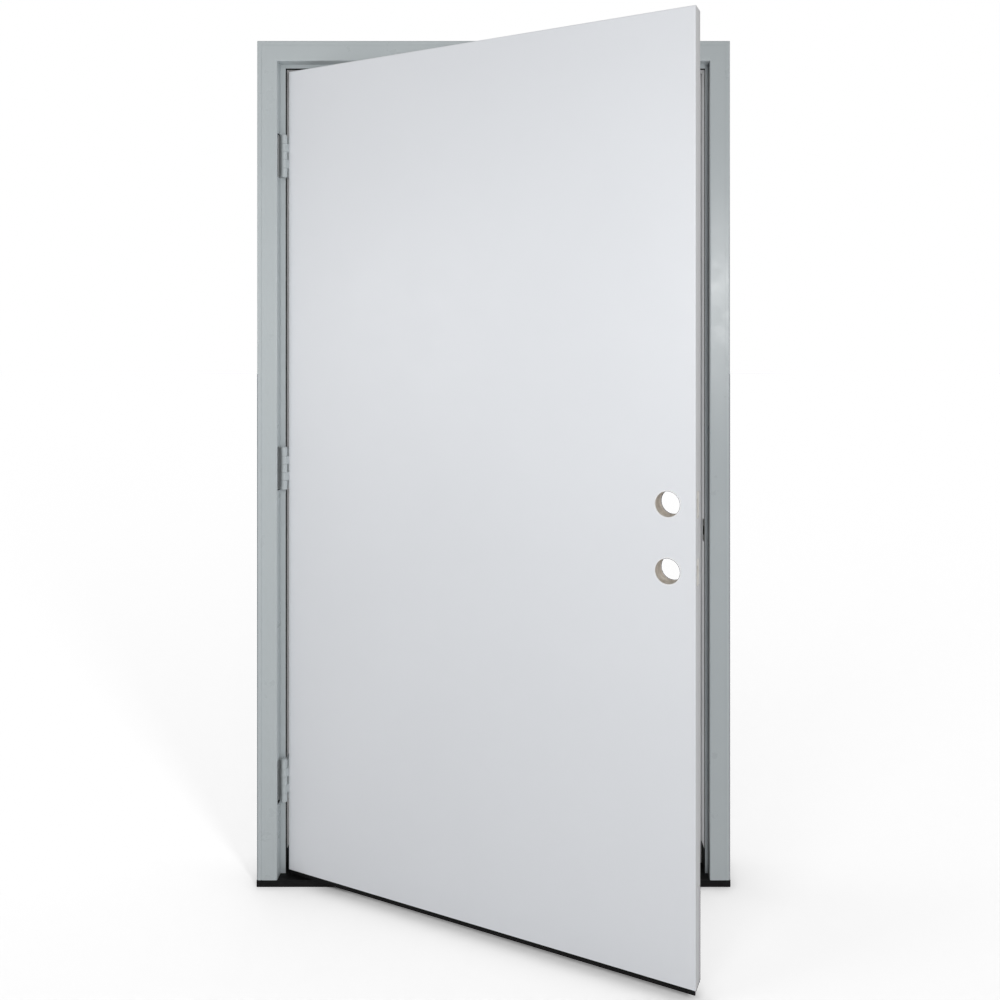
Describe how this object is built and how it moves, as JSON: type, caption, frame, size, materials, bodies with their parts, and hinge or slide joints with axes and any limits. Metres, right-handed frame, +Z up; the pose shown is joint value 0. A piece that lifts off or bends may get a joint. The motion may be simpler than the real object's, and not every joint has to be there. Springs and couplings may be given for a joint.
{
  "type": "prehung out-swing fiberglass entrance door",
  "caption": "Flush white fiberglass entrance door hung on butt hinges in a blue-grey cased frame with a black out-swing sill.",
  "frame": {"origin": "centre of the sill's underside, midway between the jambs, at the jambs' exterior edge", "axes": "+Z up, -Y towards the outside, +X towards the strike jamb as seen from outside"},
  "size_m": [1.1874, 0.5734, 2.1223],
  "materials": {
    "frame_paint": "satin blue-grey paint",
    "jamb_paint": "satin white paint, blue-grey on the outer edge",
    "hinge_paint": "satin blue-grey paint",
    "leaf_skin": "satin white smooth fiberglass",
    "leaf_edge": "satin white paint",
    "block_wood": "bare sawn wood",
    "core_foam": "matte rigid foam",
    "sill_metal": "satin black anodised",
    "sill_substrate": "matte composite",
    "seal_rubber": "matte",
    "strike_metal": "satin dark bronze",
    "dust_box_plastic": "matte"
  },
  "bodies": {
    "frame": {"hinge_jamb": "jamb_paint", "strike_jamb": "jamb_paint", "head_jamb": "jamb_paint", "hinge_side_casing": "frame_paint", "strike_side_casing": "frame_paint", "head_casing": "frame_paint", "sill_base": "sill_substrate", "sill_deck": "sill_metal", "sill_bumper": "sill_metal", "sill_seal": "seal_rubber", "hinge_side_seal": "seal_rubber", "strike_side_seal": "seal_rubber", "head_seal": "seal_rubber", "hinge_side_gasket": "seal_rubber", "strike_side_gasket": "seal_rubber", "head_gasket": "seal_rubber", "hinge_side_corner_pad": "seal_rubber", "strike_side_corner_pad": "seal_rubber", "latch_strike": "strike_metal", "latch_dust_box": "dust_box_plastic", "bottom_hinge_jamb_leaf": "hinge_paint", "bottom_hinge_pin": "hinge_paint", "middle_hinge_jamb_leaf": "hinge_paint", "middle_hinge_pin": "hinge_paint", "top_hinge_jamb_leaf": "hinge_paint", "top_hinge_pin": "hinge_paint"},
    "door": {"exterior_skin": "leaf_skin", "interior_skin": "leaf_skin", "hinge_stile": "leaf_edge", "lock_stile": "leaf_edge", "top_rail": "leaf_edge", "bottom_rail": "leaf_edge", "lock_block": "block_wood", "foam_core": "core_foam", "door_sweep": "seal_rubber", "bottom_hinge_door_leaf": "hinge_paint", "middle_hinge_door_leaf": "hinge_paint", "top_hinge_door_leaf": "hinge_paint"}
  },
  "joints": [
    {"name": "door_swing", "type": "hinge", "parent": "frame", "child": "door", "pos_m": [-0.5347, -0.009, 1.047], "axis": [0, 0, -1], "range_deg": [-25.5, 85]}
  ]
}
